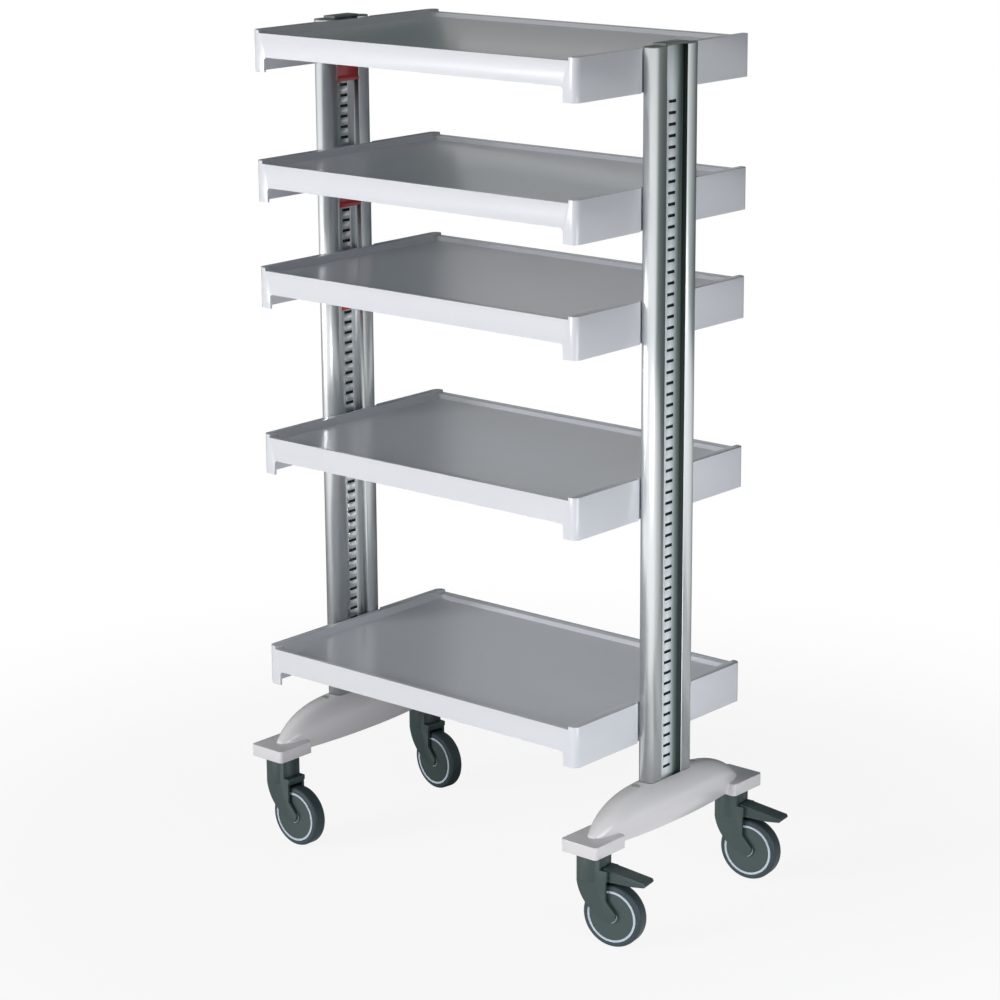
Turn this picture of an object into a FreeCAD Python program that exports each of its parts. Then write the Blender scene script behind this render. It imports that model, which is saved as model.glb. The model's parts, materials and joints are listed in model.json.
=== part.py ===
import FreeCAD, Part
import math
import os
import re
import Sketcher

# Medical trolley: five trays on two slotted columns, arched feet and swivel castors.
# Millimetres, +Z up. The origin lies on the floor, midway between the two columns.
# X runs along the long side of the trays, from the left column to the right one, and -Y is the front.

# Driving dimensions
SIZES = {
    "tray_width": 650,
    "tray_depth": 420,
    "tray_height": 65,
    "tray_wall": 4,
    "tray_corner": 11,
    "deck_drop": 10,
    "side_rim": 15,
    "rear_rim": 14,
    "rear_rim_drop": 4,
    "front_bead": 8,
    "front_bead_drop": 5,
    "rim_slope": 35,
    "post_width": 25,
    "skirt_height": 42,
    "skirt_round": 6,
    "recess_corner": 12,
    "rib_thickness": 3,
    "rib_height": 9,
    "notch_depth": 5.5,
    "notch_margin": 1.5,
    "notch_wall": 7,
    "slide_gap": 0.5,
    "column_width": 114,
    "column_thickness": 26,
    "column_top": 1354,
    "column_bottom": 200,
    "column_wall": 2.5,
    "channel_width": 50,
    "inner_channel": 11,
    "outer_channel": 9.5,
    "web_wall": 1.5,
    "slot_first": 235,
    "slot_pitch": 17,
    "slot_count": 62,
    "slot_width": 18,
    "slot_height": 5,
    "cap_plate": 1.5,
    "cap_step": 3.5,
    "cap_inset": 1,
    "cap_overlap": 3,
    "cap_plug": 8,
    "plug_gap": 0.2,
    "tray_1_slot": 61,
    "tray_2_slot": 49,
    "tray_3_slot": 39,
    "tray_4_slot": 23,
    "tray_5_slot": 2,
    "tooth_drop": 24.5,
    "guide_gap": 0.5,
    "guide_height": 50,
    "lever_gap": 0.6,
    "lever_setback": 1.8,
    "pivot_rise": 7,
    "pivot_radius": 2,
    "knuckle_radius": 3.2,
    "knuckle_length": 28,
    "running_gap": 0.05,
    "paddle_width": 48,
    "paddle_hang": 34,
    "paddle_thickness": 3.5,
    "paddle_lip": 3,
    "paddle_lip_height": 9,
    "tooth_width": 15,
    "tooth_height": 2.8,
    "tooth_offset": 0.8,
    "foot_length": 429,
    "foot_half_width": 34,
    "foot_reach": 188,
    "foot_crown": 223,
    "foot_nose_top": 168,
    "foot_belly": 152,
    "foot_belly_share": 0.85,
    "foot_side_round": 70,
    "foot_crease": 188,
    "foot_crease_nose": 165,
    "foot_relief_width": 30,
    "foot_relief_depth": 24,
    "foot_relief_gap": 8,
    "pad_width": 69,
    "pad_length": 74.5,
    "pad_bottom": 149,
    "pad_thickness": 20,
    "pad_corner": 6,
    "plug_length": 14,
    "plug_width": 9,
    "plug_rise": 0.8,
    "plug_depth": 6,
    "plug_distance": 16,
    "stem_radius": 6,
    "stem_reach": 12,
    "flange_radius": 10,
    "flange_height": 5,
    "washer_radius": 20,
    "washer_thickness": 1.2,
    "head_radius": 23,
    "head_gap": 0.3,
    "head_seat": 6,
    "overlap": 1,
    "wheel_radius": 50,
    "wheel_clearance": 4,
    "trail": 38,
    "tyre_width": 24,
    "tyre_depth": 8.5,
    "tyre_round": 5,
    "rim_lip": 1,
    "rim_wall": 2.5,
    "rim_web": 6,
    "rim_seat": 1.5,
    "rim_proud": 0.5,
    "leg_gap": 2.5,
    "leg_thickness": 4.5,
    "leg_front": 19,
    "leg_rear": 31,
    "leg_waist": 76,
    "leg_sweep": 70,
    "axle_radius": 4,
    "axle_cover": 1.2,
    "hub_radius": 12,
    "hub_boss": 10,
    "hub_gap": 0.7,
    "cover_gap": 0.25,
    "cover_depth": 2,
    "fender_reach": 33,
    "fender_bottom": 107,
    "fender_top": 115,
    "cheek_top": 124,
    "pedal_reach": 97,
    "pedal_tip": 115.5,
    "pedal_tip_thickness": 7,
    "pedal_toe_bevel": 2,
    "pedal_toe_drop": 4,
    "pedal_heel_cut": 1,
    "pedal_root": 127,
    "pedal_bottom": 106,
    "pedal_belly": 72,
    "pedal_side_gap": 0.4,
    "pedal_root_gap": 1.8,
    "pedal_pin_radius": 2.5,
    "pedal_pin_reach": 28.5,
    "pedal_pin_height": 118,
}

# Lengths that follow from the driving ones
DERIVED = {
    "notch_floor": "tray_width / 2 - notch_depth",
    "column_inner": "notch_floor + slide_gap",
    "column_x": "column_inner + column_thickness / 2",
    "inner_web": "column_inner + inner_channel",
    "half_width": "tray_width / 2",
    "half_depth": "tray_depth / 2",
    "deck_top": "tray_height - deck_drop",
    "deck_bottom": "deck_top - tray_wall",
    "half_column": "column_width / 2",
    "half_thickness": "column_thickness / 2",
    "half_channel": "channel_width / 2",
    "web_middle": "(inner_channel - outer_channel) / 2",
    "inner_face": "inner_channel - half_thickness",
    "outer_face": "half_thickness - outer_channel",
    "half_notch": "half_column + notch_margin",
    "lever_pivot": "column_inner + knuckle_radius",
    "lever_inner": "column_inner + lever_setback",
    "castor_y": "pad_centre",
    "pad_centre": "foot_length / 2 - pad_length / 2",
    "half_well": "tyre_width / 2 + leg_gap",
    "half_fork": "half_well + leg_thickness",
    "well_radius": "wheel_radius + wheel_clearance",
    "head_bottom": "wheel_radius + well_radius",
    "head_top": "pad_bottom - washer_thickness - head_gap",
    "flange_top": "head_bottom + flange_height + 2 * head_gap",
    "rim_outer": "wheel_radius - tyre_depth",
    "rim_band": "rim_outer - rim_lip",
    "rim_hollow": "rim_band - rim_wall",
    "half_tyre": "tyre_width / 2",
    "half_seat": "tyre_width / 2 - rim_seat",
    "half_rim": "tyre_width / 2 + rim_proud",
    "half_pin": "half_fork - axle_cover",
    "half_pedal": "half_well - pedal_side_gap",
}

document = FreeCAD.newDocument("medical_trolley")
sheet = document.addObject("Spreadsheet::Sheet", "Sizes")
for row, (alias, size) in enumerate(SIZES.items(), start=1):
    sheet.set(f"A{row}", alias)
    sheet.set(f"B{row}", str(size))
    sheet.setAlias(f"B{row}", alias)
document.recompute()


def bound(text):
    """Write an expression in which every size name points at its cell."""
    def swap(match):
        word = match.group()
        if word in DERIVED:
            return "(" + bound(DERIVED[word]) + ")"
        return "Sizes." + word if word in SIZES else word
    return re.sub(r"[a-z][a-z_0-9]*", swap, str(text))


def value(text):
    """The number that an expression of sizes gives now."""
    return float(sheet.evalExpression(bound(text)))


# Sketch and feature helpers

def new_body(label):
    body = document.addObject("PartDesign::Body", label)
    body.Label = label
    return body


def new_sketch(body, role, offset="0"):
    """A sketch on one of the body's own origin planes, moved along the plane's normal."""
    sketch = body.newObject("Sketcher::SketchObject", body.Name + "_sketch")
    plane = next(feature for feature in body.Origin.OriginFeatures if feature.Role == role)
    sketch.AttachmentSupport = [(plane, "")]
    sketch.MapMode = "FlatFace"
    sketch.setExpression("AttachmentOffset.Base.z", bound(offset))
    return sketch


def pin(sketch, edge, end, x, y):
    """Fix one end of an edge at a place given by two expressions."""
    for kind, text, axis in (("DistanceX", x, -2), ("DistanceY", y, -1)):
        if abs(value(text)) < 1e-9:
            sketch.addConstraint(Sketcher.Constraint("PointOnObject", edge, end, axis))
            continue
        number = sketch.addConstraint(Sketcher.Constraint(kind, -1, 1, edge, end, value(text)))
        sketch.setExpression(f"Constraints[{number}]", bound(text))


def outline(sketch, corners):
    """A closed outline through corners (x, y), or (x, y, radius) where an arc follows the corner.

    A positive radius turns left on the way to the next corner and a negative one turns right.
    """
    first = sketch.GeometryCount
    places = [FreeCAD.Vector(value(corner[0]), value(corner[1]), 0) for corner in corners]
    ends = []
    for index, corner in enumerate(corners):
        start, finish = places[index], places[(index + 1) % len(corners)]
        if len(corner) == 2:
            sketch.addGeometry(Part.LineSegment(start, finish))
            ends.append((1, 2))
            continue
        radius = value(corner[2])
        chord = finish - start
        height = math.sqrt(max(radius ** 2 - (chord.Length / 2) ** 2, 0))
        side = FreeCAD.Vector(-chord.y, chord.x, 0).normalize() * math.copysign(height, radius)
        centre = (start + finish) / 2 + side
        angles = [math.atan2(place.y - centre.y, place.x - centre.x) for place in (start, finish)]
        if radius < 0:
            angles.reverse()
        circle = Part.Circle(centre, FreeCAD.Vector(0, 0, 1), abs(radius))
        sketch.addGeometry(Part.ArcOfCircle(circle, angles[0], angles[1]))
        ends.append((1, 2) if radius > 0 else (2, 1))
    for index in range(len(corners)):
        after = (index + 1) % len(corners)
        here, there = (first + index, ends[index][1]), (first + after, ends[after][0])
        sketch.addConstraint(Sketcher.Constraint("Coincident", *here, *there))
    for index, corner in enumerate(corners):
        pin(sketch, first + index, ends[index][0], corner[0], corner[1])
        if len(corner) == 3:
            size = abs(value(corner[2]))
            number = sketch.addConstraint(Sketcher.Constraint("Radius", first + index, size))
            sketch.setExpression(f"Constraints[{number}]", f"abs({bound(corner[2])})")


def rectangle(sketch, left, right, low, high):
    outline(sketch, [(left, low), (right, low), (right, high), (left, high)])


def rounded_rectangle(sketch, left, right, low, high, radius):
    outline(sketch, [
        (f"{left} + {radius}", low), (f"{right} - {radius}", low, radius),
        (right, f"{low} + {radius}"), (right, f"{high} - {radius}", radius),
        (f"{right} - {radius}", high), (f"{left} + {radius}", high, radius),
        (left, f"{high} - {radius}"), (left, f"{low} + {radius}", radius),
    ])


def circle(sketch, x, y, radius):
    ring = Part.Circle(FreeCAD.Vector(value(x), value(y), 0), FreeCAD.Vector(0, 0, 1), value(radius))
    edge = sketch.addGeometry(ring)
    pin(sketch, edge, 3, x, y)
    number = sketch.addConstraint(Sketcher.Constraint("Radius", edge, value(radius)))
    sketch.setExpression(f"Constraints[{number}]", bound(radius))


def extrude(body, kind, sketch, length, symmetric=False, reverse=False, taper=None):
    feature = body.newObject("PartDesign::" + kind, body.Name + "_" + kind.lower())
    feature.Profile = sketch
    feature.SideType = "Symmetric" if symmetric else "One side"
    feature.Reversed = reverse
    feature.setExpression("Length", bound(length))
    if taper:
        feature.setExpression("TaperAngle", bound(taper))
    sketch.Visibility = False
    return feature


def revolve(body, sketch):
    """Turn a sketch about its own horizontal axis."""
    feature = body.newObject("PartDesign::Revolution", body.Name + "_revolution")
    feature.Profile = sketch
    feature.ReferenceAxis = (sketch, ["H_Axis"])
    feature.Angle = 360
    return feature


def place(part, x="0", y="0", z="0", turn=0.0):
    """Stand a finished sub-part at its place, turned about Z."""
    part.Placement = FreeCAD.Placement(FreeCAD.Vector(), FreeCAD.Rotation(turn, 0, 0))
    for axis, text in zip("xyz", (x, y, z)):
        part.setExpression("Placement.Base." + axis, bound(text))
    return part


def group(label, members):
    """Several like solids kept as one sub-part."""
    compound = document.addObject("Part::Compound", label)
    compound.Label = label
    compound.Links = members
    return compound


def cut(label, base, tool):
    result = document.addObject("Part::Cut", label)
    result.Label = label
    result.Base = base
    result.Tool = tool
    return result


def cylinder(name, radius, height, x="0", y="0", z="0"):
    solid = document.addObject("Part::Cylinder", name)
    solid.setExpression("Radius", bound(radius))
    solid.setExpression("Height", bound(height))
    return place(solid, x, y, z)


# Columns: an H-shaped extrusion with hollow lobes, a hollow web and a row of slots in each web wall

def section_corners(side):
    """The column's section about its own centre; side is +1 when the inner channel faces -X."""
    bend = "(half_column - half_thickness)"
    inner, outer = f"({side}) * inner_face", f"({side}) * outer_face"
    near, far = f"({-side}) * half_thickness", f"({side}) * half_thickness"
    turn = "half_thickness" if side > 0 else "-half_thickness"
    return [
        (near, f"-{bend}", turn), ("0", "-half_column", turn), (far, f"-{bend}"),
        (far, "-half_channel"), (outer, "-half_channel"), (outer, "half_channel"), (far, "half_channel"),
        (far, bend, turn), ("0", "half_column", turn), (near, bend),
        (near, "half_channel"), (inner, "half_channel"), (inner, "-half_channel"), (near, "-half_channel"),
    ]


def lobe_hollow(sketch, end, gap):
    """The hollow of one lobe, with its round end; end is +1 or -1 along Y."""
    reach = f"(half_thickness - column_wall - ({gap}))"
    bend = f"({end}) * (half_column - half_thickness)"
    tip = f"({end}) * (half_column - column_wall - ({gap}))"
    mouth = f"({end}) * (half_channel + column_wall + ({gap}))"
    turn = reach if end > 0 else f"-{reach}"
    outline(sketch, [(reach, mouth), (reach, bend, turn), ("0", tip, turn), (f"-{reach}", bend),
                     (f"-{reach}", mouth)])


def make_column(name, side):
    column = new_body("column_" + name)
    section = new_sketch(column, "XY_Plane")
    outline(section, section_corners(side))
    for end in (1, -1):
        lobe_hollow(section, end, "0")
    rectangle(section, f"({side}) * (inner_face + web_wall)", f"({side}) * (outer_face - web_wall)",
              "-half_channel", "half_channel")
    extrude(column, "Pad", section, "column_top - column_bottom")
    pair = []
    for height, outward in (("slot_first", True), ("(slot_first + slot_pitch / 2)", False)):
        slot = new_sketch(column, "YZ_Plane", f"({side}) * web_middle")
        middle = f"{height} - column_bottom"
        rectangle(slot, "-slot_width / 2", "slot_width / 2",
                  f"{middle} - slot_height / 2", f"{middle} + slot_height / 2")
        pair.append(extrude(column, "Pocket", slot, "column_thickness", reverse=outward == (side > 0)))
    document.recompute()
    row = column.newObject("PartDesign::LinearPattern", column.Name + "_slots")
    row.Originals = pair
    row.Direction = (section, ["N_Axis"])
    row.setExpression("Length", bound("slot_pitch * (slot_count - 1)"))
    row.setExpression("Occurrences", bound("slot_count"))
    column.Tip = row
    return place(column, f"({side}) * column_x", "0", "column_bottom")


def make_cap(name, side):
    cap = new_body("column_cap_" + name)
    plate = new_sketch(cap, "XY_Plane")
    outline(plate, section_corners(side))
    extrude(cap, "Pad", plate, "cap_plate")
    bridge = new_sketch(cap, "XY_Plane", "cap_plate")
    rectangle(bridge, "-half_thickness + cap_inset", "half_thickness - cap_inset",
              "-half_channel - cap_overlap", "half_channel + cap_overlap")
    extrude(cap, "Pad", bridge, "cap_step")
    plugs = new_sketch(cap, "XY_Plane")
    for end in (1, -1):
        lobe_hollow(plugs, end, "plug_gap")
    extrude(cap, "Pad", plugs, "cap_plug", reverse=True)
    return place(cap, f"({side}) * column_x", "0", "column_top")


# Feet: a boat-shaped arch lofted between two castor pads

STATIONS = (-0.98, -0.88, -0.7, -0.39, 0.0, 0.39, 0.7, 0.88, 0.98)
RIDGE_POWER = 3.6
CREASE_POWER = 3


def foot_section(foot, station):
    """One section of the arch: a round back down to the crease, then a fuller side and a flat belly."""
    share = abs(station)
    half = f"(foot_half_width * {round(math.sqrt(1 - share ** 2), 4)})"
    top = f"(foot_nose_top + (foot_crown - foot_nose_top) * {round(1 - share ** RIDGE_POWER, 4)})"
    crease = f"(foot_crease_nose + (foot_crease - foot_crease_nose) * {round(1 - share ** CREASE_POWER, 4)})"
    belly = f"({half} * foot_belly_share)"
    rise = f"({top} - {crease})"
    back = f"({half} * {half} + {rise} * {rise}) / (2 * {rise})"
    sketch = new_sketch(foot, "XZ_Plane", f"foot_reach * ({-station})")
    outline(sketch, [
        (half, crease, back), ("0", top, back), (f"-{half}", crease, "foot_side_round"),
        (f"-{belly}", "foot_belly"), (belly, "foot_belly", "foot_side_round"),
    ])
    return sketch


def foot_top_slope():
    """Distance from the middle, height and slope of the arch's ridge where the small plugs sit."""
    distance, reach = value("half_column + plug_distance"), value("foot_reach")
    height = value("foot_crown - foot_nose_top")
    share = distance / reach
    ridge = value("foot_crown") - height * share ** RIDGE_POWER
    return distance, ridge, math.degrees(math.atan(height * RIDGE_POWER * share ** (RIDGE_POWER - 1) / reach))


def plug_solid(name, x, end, depth, rise):
    """An oval disc set square to the slope of the arch; end is +1 or -1 along Y."""
    distance, ridge, slope = foot_top_slope()
    oval = Part.Ellipse(FreeCAD.Vector(), value("plug_length") / 2, value("plug_width") / 2)
    face = Part.Face(Part.Wire([oval.toShape()]))
    solid = document.addObject("Part::Feature", name)
    solid.Shape = face.extrude(FreeCAD.Vector(0, 0, depth + rise))
    tilt = FreeCAD.Rotation(FreeCAD.Vector(1, 0, 0), -end * slope)
    start = FreeCAD.Vector(x, end * distance, ridge) - tilt.multVec(FreeCAD.Vector(0, 0, depth))
    solid.Placement = FreeCAD.Placement(start, tilt)
    return solid


def make_foot(name, side):
    arch = new_body("foot_arch_" + name)
    sections = [foot_section(arch, station) for station in STATIONS]
    loft = arch.newObject("PartDesign::AdditiveLoft", arch.Name + "_loft")
    loft.Profile = sections[0]
    loft.Sections = sections[1:]
    loft.Ruled = False
    pads = new_sketch(arch, "XY_Plane", "pad_bottom")
    for low, high in (("foot_length / 2 - pad_length", "foot_length / 2"),
                      ("-foot_length / 2", "-foot_length / 2 + pad_length")):
        rounded_rectangle(pads, "-pad_width / 2", "pad_width / 2", low, high, "pad_corner")
    extrude(arch, "Pad", pads, "pad_thickness")
    socket = new_sketch(arch, "XY_Plane", "column_bottom")
    bend = "(half_column - half_thickness)"
    outline(socket, [
        ("-half_thickness", f"-{bend}", "half_thickness"), ("0", "-half_column", "half_thickness"),
        ("half_thickness", f"-{bend}"), ("half_thickness", bend, "half_thickness"),
        ("0", "half_column", "half_thickness"), ("-half_thickness", bend),
    ])
    extrude(arch, "Pocket", socket, "foot_crown", reverse=True)
    relief = new_sketch(arch, "XY_Plane", "foot_belly")
    near, far = "(half_column + foot_relief_gap)", "(foot_length / 2 - pad_length - foot_relief_gap)"
    for low, high in ((near, far), (f"-{far}", f"-{near}")):
        rounded_rectangle(relief, "-foot_relief_width / 2", "foot_relief_width / 2", low, high, "pad_corner")
    extrude(arch, "Pocket", relief, "foot_relief_depth", reverse=True)
    place(arch, f"({side}) * column_x")
    holes = [cylinder(f"stem_hole_{name}_{end}", "stem_radius", "stem_reach", f"({side}) * column_x",
                      f"({end}) * castor_y", "pad_bottom") for end in (1, -1)]
    for end in (1, -1):
        holes.append(plug_solid(f"plug_hole_{name}_{end}", side * value("column_x"), end,
                                value("plug_depth"), value("plug_depth")))
    return cut("foot_" + name, arch, group(f"foot_{name}_holes", holes))


# Trays: a moulded shell with raised side rims, a hollow underside and notches for the columns

def make_tray(number):
    tray = new_body(f"tray_{number}")
    shell = new_sketch(tray, "XY_Plane")
    rounded_rectangle(shell, "-half_width", "half_width", "-half_depth", "half_depth", "tray_corner")
    extrude(tray, "Pad", shell, "tray_height")
    hollow = new_sketch(tray, "XY_Plane")
    rounded_rectangle(hollow, "-half_width + tray_wall", "half_width - tray_wall",
                      "-half_depth + tray_wall", "half_depth - tray_wall", "(tray_corner - tray_wall)")
    extrude(tray, "Pocket", hollow, "deck_bottom", reverse=True)
    ribs = new_sketch(tray, "XY_Plane", "deck_bottom - rib_height")
    for share in ("-0.25", "0", "0.25"):
        middle = f"tray_width * ({share})"
        rectangle(ribs, f"{middle} - rib_thickness / 2", f"{middle} + rib_thickness / 2",
                  "-half_depth + tray_wall / 2", "half_depth - tray_wall / 2")
    extrude(tray, "Pad", ribs, "rib_height + tray_wall / 2")
    blocks = new_sketch(tray, "XY_Plane")
    for end in (1, -1):
        near, far = f"({end}) * (notch_floor - notch_wall)", f"({end}) * (half_width - tray_wall / 2)"
        rectangle(blocks, near, far, "-half_notch - notch_wall", "half_notch + notch_wall")
    extrude(tray, "Pad", blocks, "deck_bottom + tray_wall / 2")
    notches = new_sketch(tray, "XY_Plane")
    for end in (1, -1):
        rectangle(notches, f"({end}) * notch_floor", f"({end}) * (half_width + overlap)",
                  "-half_notch", "half_notch")
    extrude(tray, "Pocket", notches, "tray_height", reverse=True)
    recess = new_sketch(tray, "XY_Plane", "tray_height")
    rounded_rectangle(recess, "-half_width + side_rim", "half_width - side_rim",
                      "-half_depth + front_bead", "half_depth - rear_rim", "recess_corner")
    extrude(tray, "Pocket", recess, "deck_drop", taper="-rim_slope")
    lowered = new_sketch(tray, "XY_Plane", "tray_height")
    rectangle(lowered, "-half_width + side_rim", "half_width - side_rim", "-half_depth - overlap",
              "-half_depth + front_bead + deck_drop")
    extrude(tray, "Pocket", lowered, "front_bead_drop")
    rear = new_sketch(tray, "XY_Plane", "tray_height")
    rectangle(rear, "-half_width + side_rim", "half_width - side_rim", "half_depth - rear_rim - deck_drop",
              "half_depth + overlap")
    extrude(tray, "Pocket", rear, "rear_rim_drop")
    skirt = new_sketch(tray, "XZ_Plane")
    left, right, lift = "-half_width + post_width", "half_width - post_width", "tray_height - skirt_height"
    outline(skirt, [
        (left, "-overlap"), (right, "-overlap"), (right, f"{lift} - skirt_round", "skirt_round"),
        (f"{right} - skirt_round", lift), (f"{left} + skirt_round", lift, "skirt_round"),
        (left, f"{lift} - skirt_round"),
    ])
    extrude(tray, "Pocket", skirt, "tray_depth + 2 * overlap", symmetric=True)
    height = tray_base(number)
    return place(tray, "0", "0", height)


def tray_base(number):
    """Height of a tray's lower edge above the floor: its teeth line up with a slot of the inner row.

    The inner row stands half a pitch above the outer one, and tray_1_slot and the others count from its foot.
    """
    return f"(slot_first + slot_pitch * (tray_{number}_slot - 0.5) + tooth_drop)"


# Guides: a shoe on each side of a tray that runs in the column's inner channel

def make_guides(number):
    shoes = []
    for side, name in ((1, "right"), (-1, "left")):
        shoe = new_body(f"guide_{number}_{name}")
        profile = new_sketch(shoe, "XY_Plane")
        rectangle(profile, f"({side}) * notch_floor", f"({side}) * (inner_web - guide_gap)",
                  "-half_channel + guide_gap", "half_channel - guide_gap")
        extrude(shoe, "Pad", profile, "guide_height")
        if number < 5:
            seat = new_sketch(shoe, "XY_Plane")
            rectangle(seat, f"({side}) * (notch_floor - overlap)", f"({side}) * inner_web",
                      "-knuckle_length / 2 - lever_gap", "knuckle_length / 2 + lever_gap")
            extrude(shoe, "Pocket", seat, "pivot_rise + knuckle_radius + lever_gap", reverse=True)
            bore = new_sketch(shoe, "XZ_Plane")
            circle(bore, f"({side}) * lever_pivot", "pivot_rise", "pivot_radius")
            extrude(shoe, "Pocket", bore, "channel_width", symmetric=True)
        shoes.append(place(shoe, "0", "0", tray_base(number)))
    return group(f"tray_{number}_guides", shoes)


def make_pivots(number):
    pins = []
    for side, name in ((1, "right"), (-1, "left")):
        pin_body = new_body(f"pivot_{number}_{name}")
        section = new_sketch(pin_body, "XZ_Plane")
        circle(section, f"({side}) * lever_pivot", "pivot_rise", "pivot_radius")
        extrude(pin_body, "Pad", section, "channel_width - 2 * guide_gap", symmetric=True)
        pins.append(place(pin_body, "0", "0", tray_base(number)))
    return group(f"tray_{number}_pivots", pins)


# Locks: a paddle that hangs in the channel, with a tooth that enters a slot when it swings in

def make_lock(number, name, side):
    lock = new_body(f"lock_{number}_{name}")
    arm = new_sketch(lock, "XZ_Plane")
    rectangle(arm, f"({side}) * lever_inner", f"({side}) * (lever_inner + paddle_thickness)",
              "-lever_gap", "pivot_rise")
    extrude(lock, "Pad", arm, "knuckle_length", symmetric=True)
    knuckle = new_sketch(lock, "XZ_Plane")
    circle(knuckle, f"({side}) * lever_pivot", "pivot_rise", "knuckle_radius")
    extrude(lock, "Pad", knuckle, "knuckle_length", symmetric=True)
    paddle = new_sketch(lock, "XZ_Plane")
    inner, outer = f"({side}) * lever_inner", f"({side}) * (lever_inner + paddle_thickness)"
    outline(paddle, [
        (inner, "-lever_gap"), (inner, "-paddle_hang + paddle_lip_height"),
        (f"({side}) * (lever_inner - paddle_lip)", "-paddle_hang + paddle_lip_height / 2"),
        (f"({side}) * (lever_inner - paddle_lip)", "-paddle_hang"), (inner, "-paddle_hang"),
        (outer, "-paddle_hang + paddle_lip_height / 2"), (outer, "-lever_gap"),
    ])
    extrude(lock, "Pad", paddle, "paddle_width", symmetric=True)
    tooth = new_sketch(lock, "XZ_Plane")
    root = f"({side}) * (lever_inner + paddle_thickness - overlap)"
    middle = "-tooth_drop - tooth_offset"
    rectangle(tooth, root, f"({side}) * (inner_web - lever_gap)",
              f"{middle} - tooth_height / 2", f"{middle} + tooth_height / 2")
    extrude(lock, "Pad", tooth, "tooth_width", symmetric=True)
    bore = new_sketch(lock, "XZ_Plane")
    circle(bore, f"({side}) * lever_pivot", "pivot_rise", "pivot_radius + running_gap")
    extrude(lock, "Pocket", bore, "paddle_width", symmetric=True)
    return place(lock, "0", "0", tray_base(number))


# Castors: name, side of the trolley, end along Y, turn about the stem in degrees, brake pedal

CASTORS = (
    ("front_right", 1, -1, 10.0, True),
    ("rear_right", 1, 1, 8.0, True),
    ("front_left", -1, -1, -1.0, False),
    ("rear_left", -1, 1, -8.0, False),
)


def stand_castor(part, castor):
    """Place a piece drawn about the castor's own stem axis."""
    _, side, end, turn, _ = castor
    return place(part, f"({side}) * column_x", f"({end}) * castor_y", "0", turn)


def make_fork(castor):
    name, _, _, _, braked = castor
    fork = new_body(f"castor_{name}_fork")
    head = new_sketch(fork, "XY_Plane", "head_bottom")
    circle(head, "0", "0", "head_radius")
    extrude(fork, "Pad", head, "head_top - head_bottom")
    legs = new_sketch(fork, "XZ_Plane")
    cheek = "cheek_top" if braked else "fender_top"
    outline(legs, [
        ("-leg_front", "head_top - head_seat"), ("-leg_front", "head_bottom - head_seat / 2", "leg_sweep"),
        ("trail - 0.95 * hub_radius", "wheel_radius - 0.31 * hub_radius", "hub_radius"),
        ("trail + 0.8 * hub_radius", "wheel_radius + 0.6 * hub_radius"), ("leg_rear", "leg_waist"),
        ("leg_rear", "fender_bottom"), ("fender_reach", "fender_bottom"), ("fender_reach", cheek),
        ("head_radius - 2 * overlap", cheek), ("head_radius - 2 * overlap", "head_top - head_seat"),
    ])
    extrude(fork, "Pad", legs, "2 * half_fork", symmetric=True)
    well = new_sketch(fork, "XZ_Plane")
    circle(well, "trail", "wheel_radius", "well_radius")
    extrude(fork, "Pocket", well, "2 * half_well", symmetric=True)
    if braked:
        gap = new_sketch(fork, "XZ_Plane")
        rectangle(gap, "head_radius + head_gap", "fender_reach + overlap",
                  "head_bottom - wheel_clearance", "head_top")
        extrude(fork, "Pocket", gap, "2 * half_well", symmetric=True)
    bore = new_sketch(fork, "XY_Plane", "head_bottom - wheel_clearance")
    circle(bore, "0", "0", "stem_radius + running_gap")
    extrude(fork, "Pocket", bore, "head_top", reverse=True)
    counterbore = new_sketch(fork, "XY_Plane", "head_bottom - wheel_clearance")
    circle(counterbore, "0", "0", "flange_radius + head_gap")
    extrude(fork, "Pocket", counterbore, "flange_top - head_bottom + wheel_clearance", reverse=True)
    axle_hole = new_sketch(fork, "XZ_Plane")
    circle(axle_hole, "trail", "wheel_radius", "axle_radius")
    if braked:
        circle(axle_hole, "pedal_pin_reach", "pedal_pin_height", "pedal_pin_radius")
    extrude(fork, "Pocket", axle_hole, "2 * half_pin", symmetric=True)
    return stand_castor(fork, castor)


def make_cross_pin(label, castor, x, z, radius):
    """A plain pin across the fork, closed in by its cheeks."""
    cross = new_body(label)
    section = new_sketch(cross, "XZ_Plane")
    circle(section, x, z, radius)
    extrude(cross, "Pad", section, "2 * half_pin", symmetric=True)
    return stand_castor(cross, castor)


def turned(label, corners):
    """A ring turned about the axle, from a profile given as (along the axle, radius)."""
    ring = new_body(label)
    profile = new_sketch(ring, "YZ_Plane")
    outline(profile, corners)
    revolve(ring, profile)
    return ring


def stand_wheel(part, castor):
    """Place a piece drawn about the wheel's own centre."""
    _, side, end, turn, _ = castor
    angle = math.radians(turn)
    place(part, f"({side}) * column_x + trail * ({math.cos(angle)})",
          f"({end}) * castor_y + trail * ({math.sin(angle)})", "wheel_radius", turn)
    return part


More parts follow.
